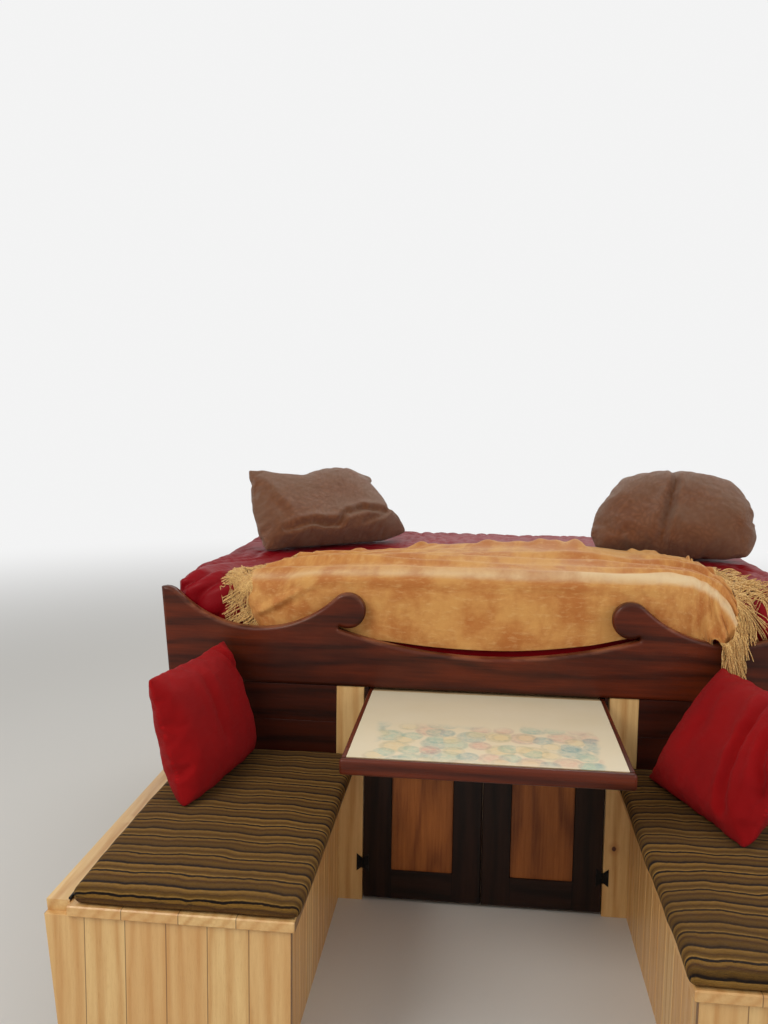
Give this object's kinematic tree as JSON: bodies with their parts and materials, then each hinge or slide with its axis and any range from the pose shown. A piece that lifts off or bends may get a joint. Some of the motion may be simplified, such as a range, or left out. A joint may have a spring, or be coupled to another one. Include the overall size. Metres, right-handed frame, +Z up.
{
  "type": "built-in bed and dinette unit of a living wagon",
  "caption": "Raised wagon bed with a scrolled front board over a cupboard, a pull-out table between hinged storage benches, and its mattress, throw, pillows and cushions.",
  "frame": {"origin": "centre of the footprint's bounding box, on the floor", "axes": "+Z up, +X to the right of someone who faces the bed, +Y from the benches towards the rear of the bed"},
  "size_m": [2.1322, 2.46, 1.3851],
  "materials": {
    "walnut_stain": "dark red-brown walnut stain under a satin varnish",
    "ebony_stain": "near-black stain, satin",
    "clear_pine": "clear-varnished knotty pine",
    "door_panel_wood": "orange-brown oiled flat panel",
    "plywood": "unfinished plywood",
    "cherry_edging": "cherry-red varnished hardwood",
    "table_surface": "cream laminate with a soft printed pattern, satin gloss",
    "black_iron": "black enamelled steel",
    "mattress_ticking": "off-white cotton ticking",
    "red_satin": "deep red satin, soft gloss",
    "gold_velvet": "gold crushed velvet with fringe",
    "bronze_weave": "bronze-brown jacquard weave",
    "striped_weave": "olive, tan and brown striped chenille",
    "red_cotton": "plain red cotton"
  },
  "bodies": {
    "base": {"aisle_panel_left": "clear_pine", "aisle_panel_right": "clear_pine", "bearer_left": "clear_pine", "bearer_right": "clear_pine", "bench_back_left": "clear_pine", "bench_back_right": "clear_pine", "coverlet": "red_satin", "cupboard_floor": "plywood", "cupboard_side_left": "plywood", "cupboard_side_right": "plywood", "deck": "plywood", "end_panel_left": "clear_pine", "end_panel_right": "clear_pine", "front_board": "walnut_stain", "hinge_post_lower_left": "black_iron", "hinge_post_lower_right": "black_iron", "hinge_post_upper_left": "black_iron", "hinge_post_upper_right": "black_iron", "hinge_rail_left": "clear_pine", "hinge_rail_right": "clear_pine", "lid_hinge_left": "black_iron", "lid_hinge_right": "black_iron", "mattress": "mattress_ticking", "pillow_left": "bronze_weave", "pillow_right": "bronze_weave", "plank_lower_left": "walnut_stain", "plank_lower_right": "walnut_stain", "plank_upper_left": "walnut_stain", "plank_upper_right": "walnut_stain", "post_left": "clear_pine", "post_right": "clear_pine", "rail_over_doors": "clear_pine", "rear_rail": "clear_pine", "runner_left": "cherry_edging", "runner_right": "cherry_edging", "throw": "gold_velvet", "wall_bearer_left": "clear_pine", "wall_bearer_right": "clear_pine"},
    "door_left": {"door_frame_left": "ebony_stain", "door_panel_left": "door_panel_wood", "hinge_door_lower_left": "black_iron", "hinge_door_upper_left": "black_iron"},
    "door_right": {"door_frame_right": "ebony_stain", "door_panel_right": "door_panel_wood", "hinge_door_lower_right": "black_iron", "hinge_door_upper_right": "black_iron"},
    "table": {"table_core": "plywood", "table_surface": "table_surface", "table_edge_front": "cherry_edging", "table_edge_left": "cherry_edging", "table_edge_right": "cherry_edging"},
    "lid_left": {"lid_left": "clear_pine", "seat_cushion_left": "striped_weave", "red_cushion_left": "red_cotton"},
    "lid_right": {"lid_right": "clear_pine", "seat_cushion_right": "striped_weave", "red_cushion_right": "red_cotton"}
  },
  "joints": [
    {"name": "door_left_hinge", "type": "hinge", "parent": "base", "child": "door_left", "pos_m": [-0.3885, -0.1653, 0.33], "axis": [0, 0, -1], "range_deg": [0, 90]},
    {"name": "door_right_hinge", "type": "hinge", "parent": "base", "child": "door_right", "pos_m": [0.3885, -0.1653, 0.33], "axis": [0, 0, 1], "range_deg": [0, 90]},
    {"name": "table_slide", "type": "slide", "parent": "base", "child": "table", "axis": [0, 1, 0], "range_m": [0, 0.55]},
    {"name": "lid_left_hinge", "type": "hinge", "parent": "base", "child": "lid_left", "pos_m": [-0.9582, -0.7, 0.4743], "axis": [0, -1, 0], "range_deg": [0, 70]},
    {"name": "lid_right_hinge", "type": "hinge", "parent": "base", "child": "lid_right", "pos_m": [0.9582, -0.7, 0.4743], "axis": [0, 1, 0], "range_deg": [0, 70]}
  ]
}
